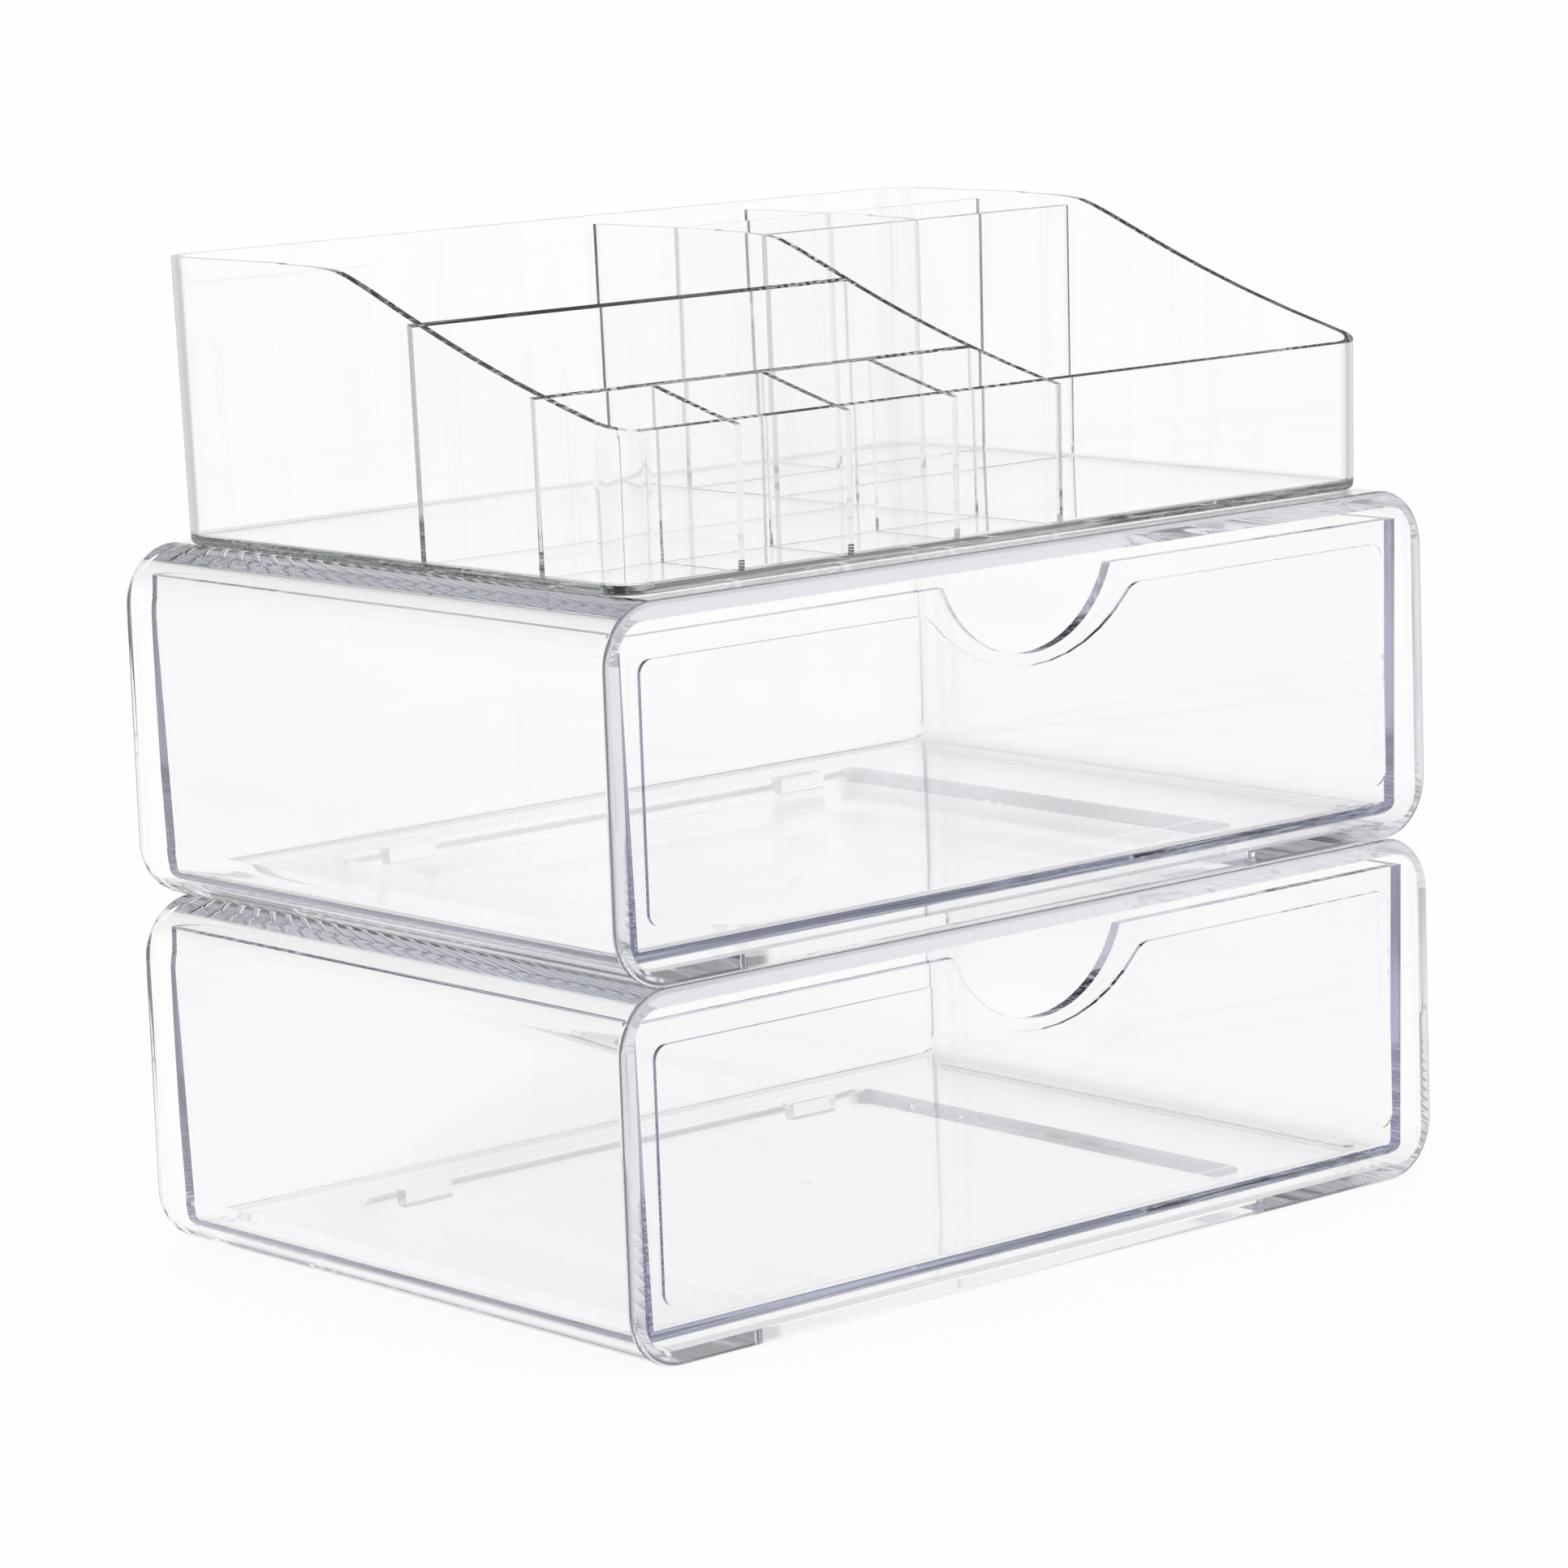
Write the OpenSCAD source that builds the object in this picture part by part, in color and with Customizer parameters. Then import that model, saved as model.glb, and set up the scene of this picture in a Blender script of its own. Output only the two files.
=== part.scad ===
// Stacking clear organiser: two drawer units with a divided tray on top.
// Millimetres, +Z up, front towards -Y. The origin is the centre of the
// lower case's underside. Each unit rests flat on the one below it.

/* [Case] */
// Width of each case
case_w = 306; // [240:1:360]
// Depth of each case, front to back
case_d = 215; // [170:1:260]
// Height of each case
case_h = 101.5; // [75:0.5:130]
// Thickness of the case's walls, floor and top
case_wall = 4.8; // [4:0.1:5.5]
// Outer radius of the case's four long edges
case_corner_r = 17; // [14:0.5:20]
// Inner radius of the case's four long edges
case_inner_r = 9; // [5:0.5:10]
// Radius that rounds the outer edges of the case's front and back rims
case_rim_r = 1.6; // [0.5:0.1:2]
// Air gap left where one piece rests on another
seat_gap = 0.2; // [0.1:0.1:0.3]

/* [Floor window] */
// From the case's outer side to the window in its floor
window_side_margin = 56; // [40:1:62]
// From the case's front or back to the window in its floor
window_end_margin = 22; // [15:1:32]
// Radius of the window's corners
window_corner_r = 8; // [3:1:15]

/* [Drawer] */
// Gap between the drawer's rim and the case's side wall
drawer_side_gap = 2.4; // [2:0.1:5]
// Gap between the drawer's rim and the case's top wall
drawer_top_gap = 4.3; // [3.5:0.1:9]
// How far the drawer's front stands back from the case's front
drawer_setback = 4; // [1:0.5:8]
// How far the drawer's back stands in from the case's open back
drawer_back_setback = 4.2; // [1:0.1:8]
// How much narrower the drawer's base is than its rim, each side
drawer_taper = 2.4; // [0:0.1:4]
// How much shorter the drawer's base is than its rim, at the back
drawer_back_taper = 1; // [0:0.1:3]
// Thickness of the drawer's side and back walls
drawer_wall = 2.5; // [1.5:0.1:3.5]
// Thickness of the drawer's front
drawer_front_wall = 3.2; // [2.4:0.1:4.5]
// Thickness of the drawer's floor
drawer_floor = 3.2; // [2:0.1:4]
// Radius of the outer edge where the drawer's walls meet its floor
drawer_edge_r = 4; // [3:0.1:6]
// Radius of the drawer's back corners
drawer_corner_r = 3.5; // [3:0.5:12]

/* [Drawer runners and catches] */
// Height of the two runners that the drawer slides on
runner_h = 0.8; // [0.8:0.1:3]
// Width of each runner
runner_w = 5; // [3:0.5:8]
// From the drawer's front or back to the end of a runner
runner_end_margin = 14; // [8:1:30]
// From the side of the drawer's base to the runner
runner_side_margin = 5; // [5:0.5:10]
// From the middle of the drawer to each catch
catch_x = 72.5; // [40:0.5:80]
// Width of each catch
catch_w = 17; // [10:1:24]
// Thickness of each catch at its root
catch_t = 5; // [3:0.5:8]
// Slack between the catch and the back of the window
catch_slack = 1.5; // [0.3:0.1:3]
// Gap between the catch's tip and the case's underside
catch_tip_gap = 0.8; // [0.5:0.1:2]
// How far the catch's back leans in towards its tip
catch_lead = 1.5; // [0:0.1:2.5]

/* [Drawer front] */
// Radius of the finger notch
notch_r = 33.5; // [20:0.5:45]
// Depth of the finger notch below the rim
notch_depth = 21.6; // [12:0.1:28]
// How far the panel on the drawer's front stands out
panel_rise = 1.2; // [0.4:0.1:1.5]
// Border between the panel and the side of the drawer's front
panel_side_border = 6.8; // [5:0.1:14]
// Border above the panel
panel_top_border = 6.4; // [4:0.1:12]
// Border below the panel
panel_bottom_border = 9.8; // [7:0.1:16]
// Border between the panel and the lowest point of the notch
panel_notch_border = 3.2; // [2:0.1:8]
// Radius of the panel's dip round the notch
panel_dip_r = 50; // [46:0.5:60]
// Radius of the panel's corners
panel_corner_r = 4; // [2:0.5:6]
// Radius of the shoulders where the panel's top meets its dip
panel_shoulder_r = 7; // [3:0.5:9]
// Diameter of the moulding mark under the middle of the drawer
gate_d = 3; // [2:0.1:5]
// Height of the moulding mark
gate_h = 0.5; // [0.2:0.1:0.8]

/* [Tray] */
// Width of the tray's foot
tray_w = 278; // [230:1:290]
// Depth of the tray's foot, front to back
tray_d = 199.5; // [170:0.5:208]
// How far each wall has leant out at the height of the tray's back
tray_flare = 1.5; // [0:0.1:3]
// Height of the tray's front wall
tray_front_h = 42.7; // [25:0.1:60]
// Height of the tray's back wall
tray_back_h = 81.6; // [65:0.1:110]
// From the tray's front to the shoulder where the rim levels out
tray_shoulder_y = 116.5; // [90:0.5:135]
// Softness of the shoulder
tray_shoulder_soft = 9; // [2:0.5:14]
// How far the slope sags between the front and the shoulder
tray_sag = 3; // [0:0.1:5]
// Thickness of the tray's outer walls
tray_wall = 2.5; // [1.5:0.1:3.5]
// Thickness of the tray's floor
tray_floor = 2.5; // [1.5:0.1:4]
// Radius of the foot's corners in plan
tray_corner_r = 10; // [5:0.5:16]
// Radius of the outer edge where the tray's walls meet its floor
tray_foot_r = 2; // [1:0.1:4]

/* [Tray dividers] */
// Thickness of the dividers
divider_t = 2.2; // [1.2:0.1:3]
// How far the dividers' tops lie below the rim at the back
divider_drop_back = 2.5; // [0:0.1:8]
// How far the dividers' tops lie below the rim at the front
divider_drop_front = 1.8; // [0:0.1:4]
// From the tray's left side to the long divider's middle
long_divider_x = 156.5; // [120:0.5:175]
// From the tray's front to the first left cross divider
left_cross_1 = 35.3; // [26:0.1:50]
// From the tray's front to the second left cross divider
left_cross_2 = 86.2; // [60:0.1:110]
// From the tray's front to the first right cross divider
right_cross_1 = 121.8; // [90:0.1:130]
// From the tray's front to the second right cross divider
right_cross_2 = 161.2; // [140:0.1:172]
// Number of cells in the left front row
front_cells = 4; // [2:1:6]

/* [Hidden] */
$fn = 96;
cut = 1;                                    // how far a cutter overshoots
arc_steps = 12;                             // chords in each computed arc
sweep_steps = 20;                           // chords in each half of the tray's rim

front_y = -case_d / 2;
back_y = case_d / 2;

window_w = case_w - 2 * window_side_margin;
window_d = case_d - 2 * window_end_margin;

floor_z = case_wall + seat_gap;             // underside of the drawer's runners
drawer_z0 = floor_z + runner_h;             // underside of the drawer
drawer_z1 = case_h - case_wall - drawer_top_gap;
drawer_h = drawer_z1 - drawer_z0;
rim_half_w = case_w / 2 - case_wall - drawer_side_gap;
base_half_w = rim_half_w - drawer_taper;
drawer_y0 = front_y + drawer_setback;
drawer_y1 = back_y - drawer_back_setback;
inner_edge_r = max(drawer_edge_r - drawer_wall, 1);
inner_corner_r = max(drawer_corner_r - drawer_wall, 1);

notch_z = drawer_z1 - notch_depth + notch_r;
panel_half_w = rim_half_w - panel_side_border;
panel_z0 = drawer_z0 + panel_bottom_border;
panel_z1 = drawer_z1 - panel_top_border;
dip_z = drawer_z1 - notch_depth - panel_notch_border + panel_dip_r;

catch_y1 = window_d / 2 - catch_slack;      // back of the catch
runner_x = base_half_w - runner_side_margin - runner_w / 2;

unit_pitch = case_h + seat_gap;             // from one stacked unit to the next
tray_z = 2 * unit_pitch;
tray_lean = atan(tray_flare / tray_back_h);
tray_over = tray_flare + cut;               // how far the tray's cutters reach past its foot
tray_inner_r = max(tray_foot_r - tray_wall, 1);
shoulder_reach = 3 * tray_shoulder_soft;    // how far the shoulder's bend spreads

// Points along a circle's arc from angle a0 to angle a1.
function arc(cx, cy, r, a0, a1) =
    [for (i = [0:arc_steps]) let (a = a0 + (a1 - a0) * i / arc_steps) [cx + r * cos(a), cy + r * sin(a)]];

// A rounded lower edge, whose corner would be at b and z0, and the wall above
// it, which leans out by the angle lean up to height z1.
function edge_and_wall(b, lean, z0, z1, r) = concat(
    arc(b - r * tan(45 - lean / 2), z0 + r, r, 270, 360 - lean),
    [[b + (z1 - z0) * tan(lean), z1]]);

// The same line on the other side, from its far end back.
function mirrored(line) = [for (i = [len(line) - 1:-1:0]) [-line[i].x, line[i].y]];

// Cross-section of a trough whose floor runs from a to b at height z0.
function trough(a, b, lean_a, lean_b, z0, z1, r) = concat(
    mirrored(edge_and_wall(-a, lean_a, z0, z1, r)),
    edge_and_wall(b, lean_b, z0, z1, r));

// A rectangle with rounded corners, centred on the origin.
module rounded_rect(w, h, r) {
    square([w - 2 * r, h], center = true);
    square([w, h - 2 * r], center = true);
    for (x = [-1, 1], y = [-1, 1])
        translate([x * (w / 2 - r), y * (h / 2 - r)]) circle(r);
}

// Stands a drawing in X and Z up and runs it from y0 back to y1.
module along_y(y0, y1) {
    translate([0, y1, 0]) rotate([90, 0, 0]) linear_extrude(y1 - y0) children();
}

// Stands a drawing in Y and Z up and runs it from x0 across to x1.
module along_x(x0, x1) {
    translate([x0, 0, 0]) rotate([90, 0, 90]) linear_extrude(x1 - x0) children();
}

// ---- Case: a rounded tube, open at both ends, with a window in its floor ----

// One of the body's four long edges: a bar whose ends are rounded at their rims.
module long_edge() {
    rotate([90, 0, 0]) rotate_extrude() intersection() {
        rounded_rect(2 * case_corner_r, case_d, case_rim_r);
        translate([0, front_y]) square([case_corner_r, case_d]);
    }
}

// The case before it is hollowed, with every outer edge rounded.
module case_body() {
    edge_x = case_w / 2 - case_corner_r;
    edge_z = case_h / 2 - case_corner_r;
    translate([0, 0, case_h / 2]) {
        along_x(-edge_x, edge_x) rounded_rect(case_d, case_h, case_rim_r);
        translate([0, 0, -edge_z]) linear_extrude(2 * edge_z) rounded_rect(case_w, case_d, case_rim_r);
        for (x = [-edge_x, edge_x], z = [-edge_z, edge_z]) translate([x, 0, z]) long_edge();
    }
}

module case_unit() {
    difference() {
        case_body();
        along_y(front_y - cut, back_y + cut) translate([0, case_h / 2])
            rounded_rect(case_w - 2 * case_wall, case_h - 2 * case_wall, case_inner_r);
        translate([0, 0, -cut]) linear_extrude(case_wall + 2 * cut)
            rounded_rect(window_w, window_d, window_corner_r);
    }
}

// ---- Drawer: a tapered open tray on two runners, with two catches ----

// The drawer's form from height z0 up to z1, with its walls moved in by wall at
// the sides and back and by front_wall at the front.
module drawer_form(wall, front_wall, z0, z1, edge_r, corner_r) {
    side_lean = atan(drawer_taper / drawer_h);
    back_lean = atan(drawer_back_taper / drawer_h);
    half_w = base_half_w + (z0 - drawer_z0) * tan(side_lean) - wall;
    y0 = drawer_y0 + front_wall;
    y1 = drawer_y1 - drawer_back_taper + (z0 - drawer_z0) * tan(back_lean) - wall;
    intersection() {
        along_y(y0, drawer_y1) polygon(trough(-half_w, half_w, side_lean, side_lean, z0, z1, edge_r));
        along_x(-case_w / 2, case_w / 2) polygon(trough(y0, y1, 0, back_lean, z0, z1, edge_r));
        drawer_plan(wall, y0, z0, z1, corner_r);
    }
}

// Upright block with the drawer's plan: square at the front, rounded at the back.
module drawer_plan(wall, y0, z0, z1, corner_r) {
    half_w = rim_half_w - wall;
    mid_y = drawer_y1 - wall - 2 * corner_r;
    translate([0, 0, z0]) linear_extrude(z1 - z0) {
        translate([-half_w - cut, y0]) square([2 * (half_w + cut), mid_y + corner_r - y0]);
        translate([0, mid_y]) rounded_rect(2 * half_w, 4 * corner_r, corner_r);
    }
}

// Outline of the raised panel: a rounded rectangle that dips round the notch.
module panel_outline() {
    r = panel_corner_r;
    s = panel_shoulder_r;
    // the shoulder's centre lies s below the panel's top and s outside the dip
    shoulder_z = panel_z1 - s;
    shoulder_x = sqrt(pow(panel_dip_r + s, 2) - pow(dip_z - shoulder_z, 2));
    turn = atan2(dip_z - shoulder_z, shoulder_x);
    polygon(concat(
        arc(-panel_half_w + r, panel_z1 - r, r, 180, 90),
        arc(-shoulder_x, shoulder_z, s, 90, turn),
        arc(0, dip_z, panel_dip_r, 180 + turn, 360 - turn),
        arc(shoulder_x, shoulder_z, s, 180 - turn, 90),
        arc(panel_half_w - r, panel_z1 - r, r, 90, 0),
        arc(panel_half_w - r, panel_z0 + r, r, 0, -90),
        arc(-panel_half_w + r, panel_z0 + r, r, -90, -180)));
}

// Catch that hangs through the case's window and stops the drawer at its ends.
module drawer_catch() {
    tip = catch_tip_gap;
    along_x(-catch_w / 2, catch_w / 2) polygon([
        [catch_y1 - catch_t, drawer_z0 + cut], [catch_y1 - catch_t, tip],
        [catch_y1 - catch_lead, tip], [catch_y1, case_wall], [catch_y1, drawer_z0 + cut]]);
}

module drawer_runner() {
    y0 = drawer_y0 + runner_end_margin + runner_w / 2;
    y1 = drawer_y1 - runner_end_margin - runner_w / 2;
    translate([0, 0, floor_z]) linear_extrude(runner_h + cut) {
        translate([-runner_w / 2, y0]) square([runner_w, y1 - y0]);
        for (y = [y0, y1]) translate([0, y]) circle(runner_w / 2);
    }
}

module drawer_unit() {
    difference() {
        union() {
            drawer_form(0, 0, drawer_z0, drawer_z1, drawer_edge_r, drawer_corner_r);
            // raised panel
            along_y(drawer_y0 - panel_rise, drawer_y0 + cut) panel_outline();
            for (side = [-1, 1]) {
                translate([side * catch_x, 0, 0]) drawer_catch();
                translate([side * runner_x, 0, 0]) drawer_runner();
            }
            // mark left under the middle of the floor by the moulding
            translate([0, (drawer_y0 + drawer_y1) / 2, drawer_z0 - gate_h])
                cylinder(h = gate_h + cut, d = gate_d);
        }
        drawer_form(drawer_wall, drawer_front_wall, drawer_z0 + drawer_floor, drawer_z1 + cut,
            inner_edge_r, inner_corner_r);
        // finger notch through the front
        along_y(drawer_y0 - cut, drawer_y0 + drawer_front_wall + cut) translate([0, notch_z]) circle(notch_r);
    }
}

// ---- Tray: an open box whose rim sweeps down to the front ----

// The tray's form from height z0 up to z1, with its walls moved in by wall. Its
// corners are cones, which run on smoothly from the leaning walls.
module tray_form(wall, z0, z1, edge_r) {
    x = tray_w / 2 - tray_corner_r;
    y = tray_d / 2 - tray_corner_r;
    r = tray_corner_r + z0 * tan(tray_lean) - wall;
    along_y(-y, y) polygon(trough(-x - r, x + r, tray_lean, tray_lean, z0, z1, edge_r));
    along_x(-x, x) polygon(trough(-y - r, y + r, tray_lean, tray_lean, z0, z1, edge_r));
    for (side = [-x, x], end = [-y, y]) translate([side, end, 0])
        rotate_extrude() polygon(concat([[0, z1], [0, z0]], edge_and_wall(r, tray_lean, z0, z1, edge_r)));
}

// How far the rim's falling line and its bend have dropped, d in front of the shoulder.
function fall(d) = (d + sqrt(d * d + tray_shoulder_soft * tray_shoulder_soft)) / 2;

// Height at y behind the tray's front of a rim that runs from front_h up to back_h.
function rim_z(y, front_h, back_h) =
    let (sag = tray_sag * sin(180 * min(y / tray_shoulder_y, 1)))
    back_h - (back_h - front_h) * fall(tray_shoulder_y - y) / fall(tray_shoulder_y) - sag;

// All that lies below such a rim.
module below_rim(front_h, back_h) {
    bend_y = tray_shoulder_y - shoulder_reach;
    level_y = tray_shoulder_y + shoulder_reach;
    ys = concat([for (i = [0:sweep_steps]) bend_y * i / sweep_steps],
        [for (i = [1:sweep_steps - 1]) bend_y + (level_y - bend_y) * i / sweep_steps]);
    along_x(-tray_w / 2 - tray_over, tray_w / 2 + tray_over) translate([-tray_d / 2, 0]) polygon(concat(
        [[-tray_over, -cut], [-tray_over, front_h]], [for (y = ys) [y, rim_z(y, front_h, back_h)]],
        [[level_y, back_h], [tray_d + tray_over, back_h], [tray_d + tray_over, -cut]]));
}

// Upright plates in the tray's plan, measured from its front left corner: one
// runs back from y0 to y1 at x, the other runs across from x0 to x1 at y.
module plate_back(x, y0, y1) translate([x - divider_t / 2, y0]) square([divider_t, y1 - y0]);
module plate_across(y, x0, x1) translate([x0, y - divider_t / 2]) square([x1 - x0, divider_t]);

// The dividers' plan. The outer ends run on past the walls, which cut them off.
module divider_plan() {
    right_x = tray_w + tray_over;
    rear_y = tray_d + tray_over;
    cell_w = (long_divider_x - tray_wall) / front_cells;
    plate_back(long_divider_x, -tray_over, rear_y);
    for (y = [left_cross_1, left_cross_2]) plate_across(y, -tray_over, long_divider_x);
    for (y = [right_cross_1, right_cross_2]) plate_across(y, long_divider_x, right_x);
    for (i = [1:front_cells - 1]) plate_back(tray_wall + i * cell_w, -tray_over, left_cross_1);
    plate_back((long_divider_x + tray_w - tray_wall) / 2, right_cross_1, rear_y);
}

module tray() {
    translate([0, 0, tray_z]) {
        difference() {
            intersection() {
                tray_form(0, 0, tray_back_h + cut, tray_foot_r);
                below_rim(tray_front_h, tray_back_h);
            }
            tray_form(tray_wall, tray_floor, tray_back_h + 2 * cut, tray_inner_r);
        }
        // the dividers end half way into the walls and the floor
        intersection() {
            tray_form(tray_wall / 2, tray_floor / 2, tray_back_h, tray_inner_r);
            translate([-tray_w / 2, -tray_d / 2, 0]) linear_extrude(tray_back_h) divider_plan();
            below_rim(tray_front_h - divider_drop_front, tray_back_h - divider_drop_back);
        }
    }
}

// ---- Nodes ----

module lower_case() color([0.93, 0.94, 0.96, 0.35]) case_unit();
module upper_case() color([0.93, 0.94, 0.96, 0.35]) translate([0, 0, unit_pitch]) case_unit();
module lower_drawer() color([0.96, 0.96, 0.97, 0.35]) drawer_unit();
module upper_drawer() color([0.96, 0.96, 0.97, 0.35]) translate([0, 0, unit_pitch]) drawer_unit();
module top_tray() color([0.94, 0.94, 0.95, 0.35]) tray();

lower_case();
lower_drawer();
upper_case();
upper_drawer();
top_tray();
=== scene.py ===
import bpy
from mathutils import Matrix, Vector

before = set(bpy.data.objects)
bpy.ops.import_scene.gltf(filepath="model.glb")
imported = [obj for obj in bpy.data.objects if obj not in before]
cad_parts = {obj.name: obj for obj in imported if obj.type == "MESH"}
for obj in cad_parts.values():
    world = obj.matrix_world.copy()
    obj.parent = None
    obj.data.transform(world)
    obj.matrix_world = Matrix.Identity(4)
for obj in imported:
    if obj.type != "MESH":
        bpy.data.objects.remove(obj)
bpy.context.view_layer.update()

LIGHT_BOUNCES = 80     # a ray caught in a clear wall runs along it for many bounces

scene = bpy.context.scene
scene.view_settings.view_transform = "Standard"

scene.cycles.max_bounces = LIGHT_BOUNCES
scene.cycles.transmission_bounces = LIGHT_BOUNCES
scene.cycles.glossy_bounces = LIGHT_BOUNCES
scene.cycles.diffuse_bounces = 2
scene.cycles.transparent_max_bounces = 24
scene.cycles.caustics_reflective = False
scene.cycles.caustics_refractive = False
scene.cycles.use_denoising = True


# ---- Shader nodes ----

def node(tree, kind, **values):
    """A new shader node. Values that name a socket go there, the others are attributes."""
    n = tree.nodes.new(kind)
    for key, value in values.items():
        if key in n.inputs:
            n.inputs[key].default_value = value
        else:
            setattr(n, key, value)
    return n


def maths(tree, operation, *values):
    """A Math node on numbers and sockets."""
    n = node(tree, "ShaderNodeMath", operation=operation)
    for socket, value in zip(n.inputs, values):
        if isinstance(value, (int, float)):
            socket.default_value = value
        else:
            tree.links.new(value, socket)
    return n.outputs["Value"]


def spread(tree, value, low, high, to_low, to_high):
    """Maps value from low..high to to_low..to_high with soft ends."""
    m = node(tree, "ShaderNodeMapRange", interpolation_type="SMOOTHSTEP")
    for key, number in (("From Min", low), ("From Max", high),
                        ("To Min", to_low), ("To Max", to_high)):
        m.inputs[key].default_value = number
    tree.links.new(value, m.inputs["Value"])
    return m.outputs["Result"]


def noise(tree, place, scale, stretch=(1, 1, 1)):
    """Noise in the object's own metres, with scale features per metre.
    An axis whose stretch is below 1 has its features drawn out along it."""
    squeeze = node(tree, "ShaderNodeMapping")
    squeeze.inputs["Scale"].default_value = stretch
    tree.links.new(place, squeeze.inputs["Vector"])
    n = node(tree, "ShaderNodeTexNoise", Scale=scale, Detail=0.0)
    tree.links.new(squeeze.outputs["Vector"], n.inputs["Vector"])
    return n.outputs["Fac"]


# ---- Camera: at the photograph's angle ----

CAMERA_POS = Vector((-1.0795, -1.2534, 0.4044))
CAMERA_RIGHT = Vector((0.7537072, -0.6562364, -0.0357664))
CAMERA_DOWN = Vector((-0.1358220, -0.1022870, -0.9854389))
CAMERA_AHEAD = Vector((0.6430224, 0.7475903, -0.1662258))
SENSOR_WIDTH = 36.0    # in millimetres, as is the lens
LENS = 133.61
CLIP_NEAR = 0.05
CLIP_FAR = 60.0

camera = bpy.data.objects.new("camera", bpy.data.cameras.new("camera"))
camera.data.sensor_width = SENSOR_WIDTH
camera.data.lens = LENS
camera.data.clip_start = CLIP_NEAR
camera.data.clip_end = CLIP_FAR
turn = Matrix((CAMERA_RIGHT, -CAMERA_DOWN, -CAMERA_AHEAD)).transposed()
camera.matrix_world = Matrix.Translation(CAMERA_POS) @ turn.to_4x4()
scene.collection.objects.link(camera)
scene.camera = camera


# ---- Clear plastic ----

PLASTIC_IOR = 1.49
SLOW_SCALE = 24.0      # ripples of a few centimetres, in features per metre
MARK_SCALE = 70.0      # flow marks, across the way that they run
RIPPLE = 0.000006      # height of the ripples, in metres
HAZE_FROM = 0.9        # sum of the two noises at which the haze starts
HAZE_TO = 1.4
HAZE_ROUGHNESS = 0.03
CLEAR = (1, 1, 1, 1)
HAZE_TINT = (0.992, 0.992, 0.996, 1)
ALONG_DEPTH = (1.0, 0.05, 1.0)
ALONG_HEIGHT = (1.0, 1.0, 0.15)

# node: material, tint of thick places, how soon it shows, way the plastic flowed
CASE = ("clear_case", (0.78, 0.79, 0.84), 4.5, ALONG_DEPTH)
DRAWER = ("clear_drawer", (0.78, 0.79, 0.85), 16.0, ALONG_DEPTH)
TRAY = ("clear_tray", (0.79, 0.80, 0.80), 16.0, ALONG_HEIGHT)
NODES = {
    "lower_case": CASE,
    "upper_case": CASE,
    "lower_drawer": DRAWER,
    "upper_drawer": DRAWER,
    "top_tray": TRAY,
}


def clear_plastic(name, tint, density, flow):
    """Polished clear moulding: ripples and flow marks, faint haze, tint in thick places."""
    mat = bpy.data.materials.new(name)
    mat.use_nodes = True
    t = mat.node_tree
    t.nodes.clear()
    out = node(t, "ShaderNodeOutputMaterial")
    shader = node(t, "ShaderNodeBsdfPrincipled", IOR=PLASTIC_IOR)
    shader.inputs["Transmission Weight"].default_value = 1.0
    t.links.new(shader.outputs["BSDF"], out.inputs["Surface"])
    place = node(t, "ShaderNodeTexCoord").outputs["Object"]

    # The surface isn't dead flat.
    slow = noise(t, place, SLOW_SCALE)
    drawn = noise(t, place, MARK_SCALE, flow)
    waves = maths(t, "ADD", slow, drawn)
    bump = node(t, "ShaderNodeBump", Strength=1.0, Distance=RIPPLE)
    t.links.new(waves, bump.inputs["Height"])
    t.links.new(bump.outputs["Normal"], shader.inputs["Normal"])

    # Haze where the waves are highest, with a trace of violet.
    t.links.new(spread(t, waves, HAZE_FROM, HAZE_TO, 0.0, HAZE_ROUGHNESS),
                shader.inputs["Roughness"])
    shade = node(t, "ShaderNodeMix", data_type="RGBA")
    shade.inputs["A"].default_value = CLEAR
    shade.inputs["B"].default_value = HAZE_TINT
    t.links.new(spread(t, waves, HAZE_FROM, HAZE_TO, 0.0, 1.0), shade.inputs["Factor"])
    t.links.new(shade.outputs["Result"], shader.inputs["Base Color"])

    soak = node(t, "ShaderNodeVolumeAbsorption", Density=density)
    soak.inputs["Color"].default_value = (*tint, 1)
    t.links.new(soak.outputs["Volume"], out.inputs["Volume"])
    return mat


plastic = {look: clear_plastic(*look) for look in (CASE, DRAWER, TRAY)}
for name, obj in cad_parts.items():
    obj.data.materials.clear()
    obj.data.materials.append(plastic[NODES[name]])


# ---- Dark flags: in the studio light, and painted as a dark reflection on the floor ----

FLAG_LEVEL = 0.05      # brightness of the four dark flags that the plastic mirrors
FLAG_SOFT = 0.42       # how far from the diagonals they start: cosine of twice the angle
FLAG_FULL = 0.68
FLAG_MIRRORINGS = 2.5  # mirrorings after which a ray sees them in full; after one, a third
GUIDED_FROM = 3        # mirrorings after which a ray counts as caught in a wall
GUIDED_TO = 8
GUIDED_SHARE = 0.55    # share of the flags and the dim band that such a ray doesn't see


def open_share(tree, path):
    """1 for a ray that leaves after a few mirrorings, less for one that was caught in a wall."""
    return spread(tree, path.outputs["Glossy Depth"], GUIDED_FROM, GUIDED_TO,
                  1.0, 1.0 - GUIDED_SHARE)


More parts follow.
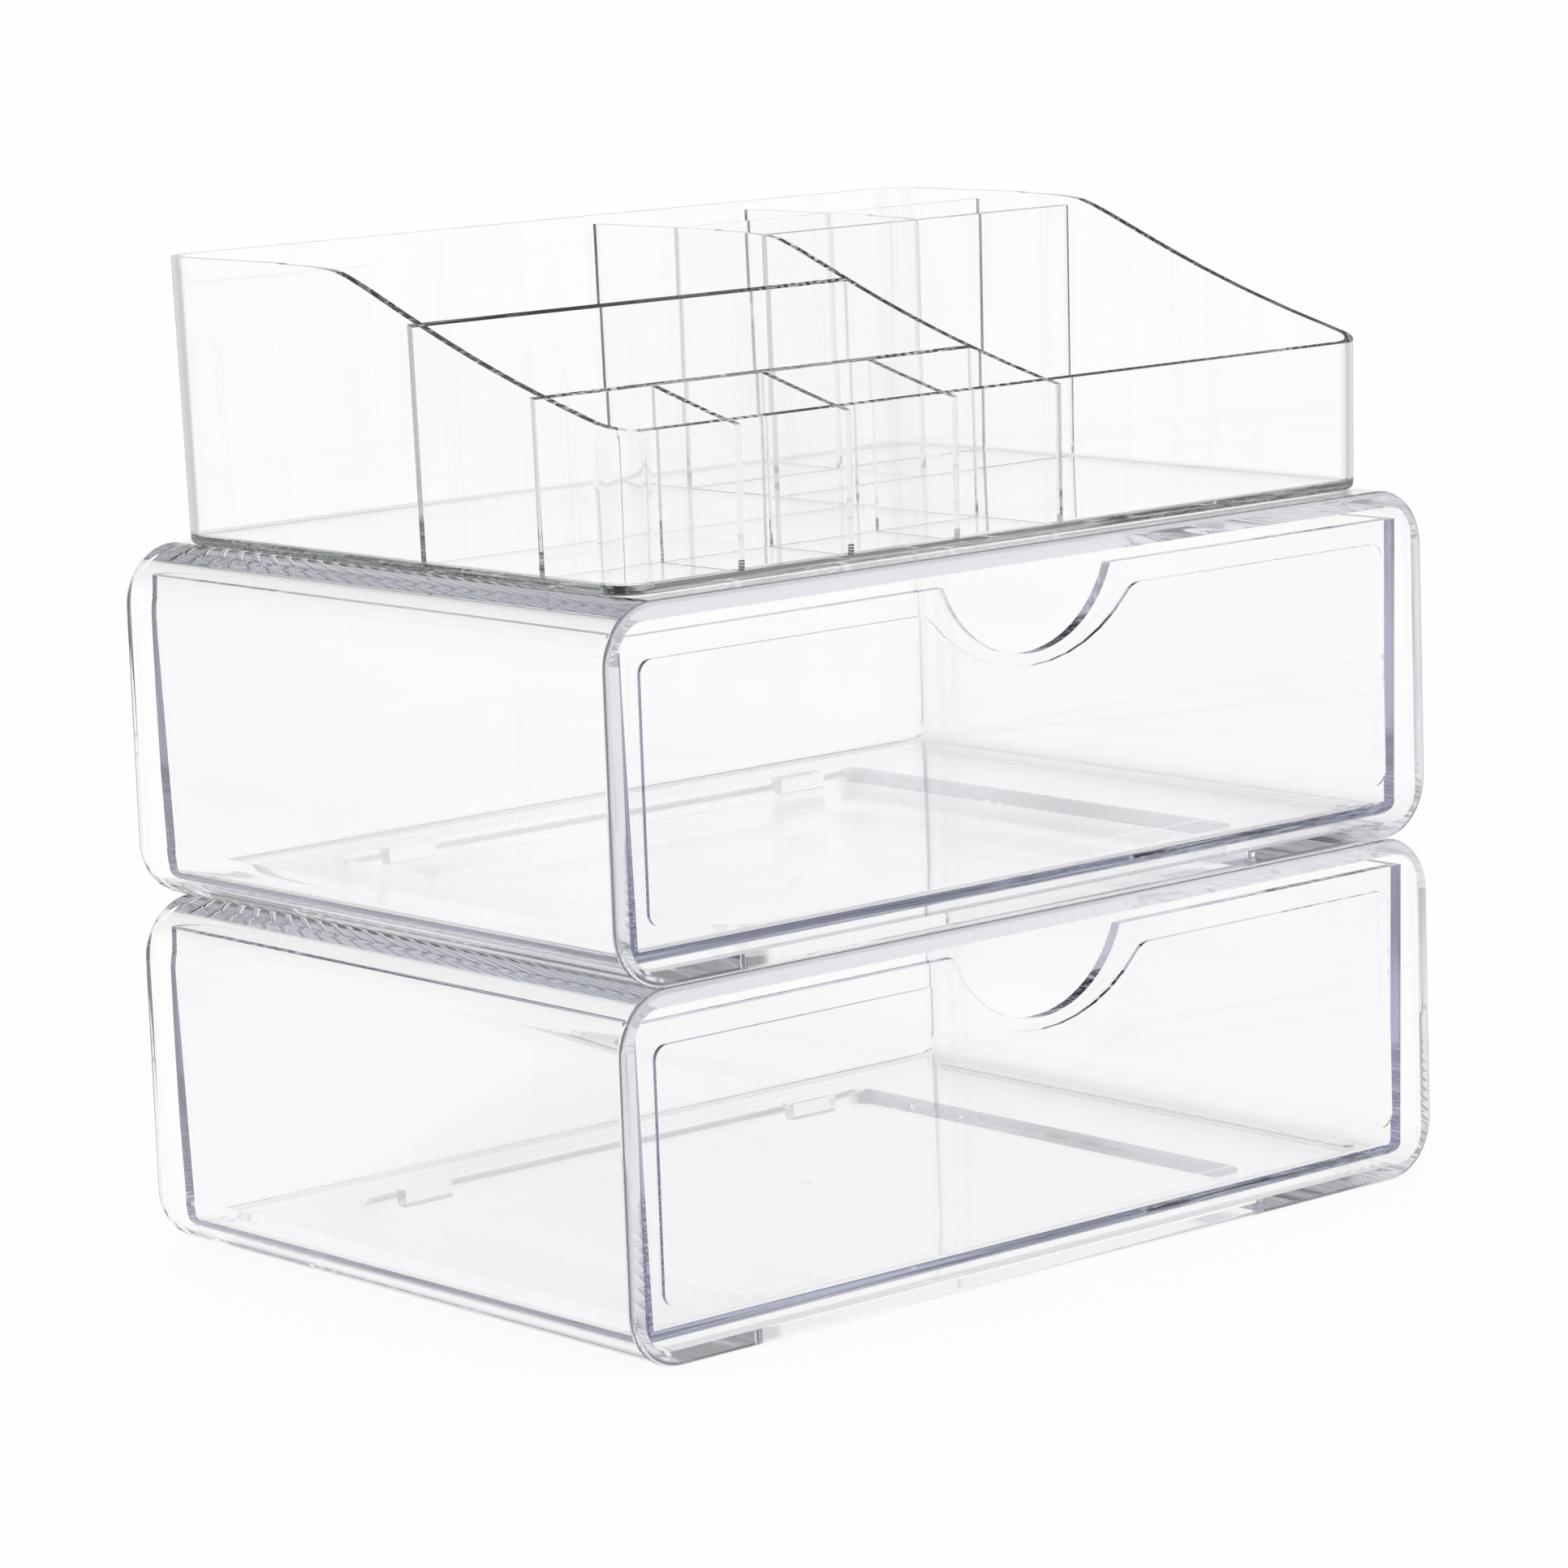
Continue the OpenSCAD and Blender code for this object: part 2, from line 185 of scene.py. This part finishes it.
def flags(tree, vector, path, near=None):
    """1, or less where a mirrored ray goes to one of four dark flags that face the object's
    sides. They draw the plastic's edges; what is seen straight through it stays white.
    On the floor, where no flags stand, it paints their dark reflection into the floor's glow;
    near gives where this painted reflection starts and where it is full, in metres."""
    apart = node(tree, "ShaderNodeSeparateXYZ")
    tree.links.new(vector, apart.inputs["Vector"])
    xx = maths(tree, "MULTIPLY", apart.outputs["X"], apart.outputs["X"])
    yy = maths(tree, "MULTIPLY", apart.outputs["Y"], apart.outputs["Y"])
    around = maths(tree, "ADD", xx, yy)
    side = maths(tree, "DIVIDE", maths(tree, "SUBTRACT", xx, yy), around)
    side = maths(tree, "ABSOLUTE", side)
    dark = spread(tree, side, FLAG_SOFT, FLAG_FULL, 0.0, 1.0 - FLAG_LEVEL)
    if near:
        far_out = spread(tree, maths(tree, "SQRT", around), *near, 0.0, 1.0)
        dark = maths(tree, "MULTIPLY", dark, far_out)
    mirrored = spread(tree, path.outputs["Glossy Depth"], 0.0, FLAG_MIRRORINGS, 0.0, 1.0)
    mirrored = maths(tree, "MULTIPLY", mirrored, open_share(tree, path))
    return maths(tree, "SUBTRACT", 1.0, maths(tree, "MULTIPLY", dark, mirrored))


# ---- Floor: a white table ----

FLOOR_REACH = 14.0     # from the middle to each edge
FLOOR_DROP = 0.0005    # how far it lies under the cases
FLOOR_WHITE = (0.95, 0.95, 0.95, 1)
FLOOR_ROUGHNESS = 0.9
GLOW_SHARE = 0.955     # share of the white glow in the floor as seen
# where the flags' painted dark reflection on the floor starts and where it is full, in metres
FLOOR_PAINTED_REFLECTION_NEAR = (0.16, 0.35)

floor_mesh = bpy.data.meshes.new("floor")
corners = [(x * FLOOR_REACH, y * FLOOR_REACH, -FLOOR_DROP)
           for x, y in ((-1, -1), (1, -1), (1, 1), (-1, 1))]
floor_mesh.from_pydata(corners, [], [(0, 1, 2, 3)])
floor = bpy.data.objects.new("floor", floor_mesh)
scene.collection.objects.link(floor)

floor_mat = bpy.data.materials.new("floor")
floor_mat.use_nodes = True
t = floor_mat.node_tree
matt = t.nodes["Principled BSDF"]
matt.inputs["Base Color"].default_value = FLOOR_WHITE
matt.inputs["Roughness"].default_value = FLOOR_ROUGHNESS
matt.inputs["Specular IOR Level"].default_value = 0.0
# Seen directly or through the plastic, it is a lit white sheet that takes a little shadow.
path = node(t, "ShaderNodeLightPath")
seen = maths(t, "MAXIMUM", path.outputs["Is Camera Ray"], path.outputs["Is Glossy Ray"])
seen = maths(t, "MAXIMUM", seen, path.outputs["Is Transmission Ray"])
share = maths(t, "MULTIPLY", seen, GLOW_SHARE)
glow = node(t, "ShaderNodeEmission")
place = node(t, "ShaderNodeNewGeometry").outputs["Position"]
# Its glow has the flags' dark reflection painted into it, in four sectors away from the object,
# seen only in the plastic's mirrorings.
t.links.new(flags(t, place, path, FLOOR_PAINTED_REFLECTION_NEAR), glow.inputs["Strength"])
mix = node(t, "ShaderNodeMixShader")
t.links.new(share, mix.inputs["Fac"])
t.links.new(matt.outputs["BSDF"], mix.inputs[1])
t.links.new(glow.outputs["Emission"], mix.inputs[2])
t.links.new(mix.outputs["Shader"], t.nodes["Material Output"].inputs["Surface"])
floor_mesh.materials.append(floor_mat)


# ---- Studio: white all round up to a low height, a dimmer band above, soft light overhead ----

BAND_FROM = 0.20       # sine of the height at which the studio's white ends
BAND_TO = 0.40         # sine of the height at which the dim band is full
BAND_LEVEL = 0.35      # brightness of the dim band
TOP_FROM = 0.66        # sine of the height at which the soft light overhead starts
TOP_TO = 0.88
TOP_LEVEL = 1.15

world = bpy.data.worlds.new("studio")
scene.world = world
world.use_nodes = True
world.cycles.sampling_method = "NONE"
t = world.node_tree
bg = t.nodes["Background"]
way = node(t, "ShaderNodeTexCoord").outputs["Generated"]
apart = node(t, "ShaderNodeSeparateXYZ")
t.links.new(way, apart.inputs["Vector"])
path = node(t, "ShaderNodeLightPath")
dimmed = spread(t, apart.outputs["Z"], BAND_FROM, BAND_TO, 0.0, 1.0 - BAND_LEVEL)
band = maths(t, "SUBTRACT", 1.0, maths(t, "MULTIPLY", dimmed, open_share(t, path)))
top = spread(t, apart.outputs["Z"], TOP_FROM, TOP_TO, 0.0, TOP_LEVEL)
level = maths(t, "MULTIPLY", maths(t, "ADD", band, top), flags(t, way, path))
t.links.new(level, bg.inputs["Strength"])
bg.inputs["Color"].default_value = (1, 1, 1, 1)
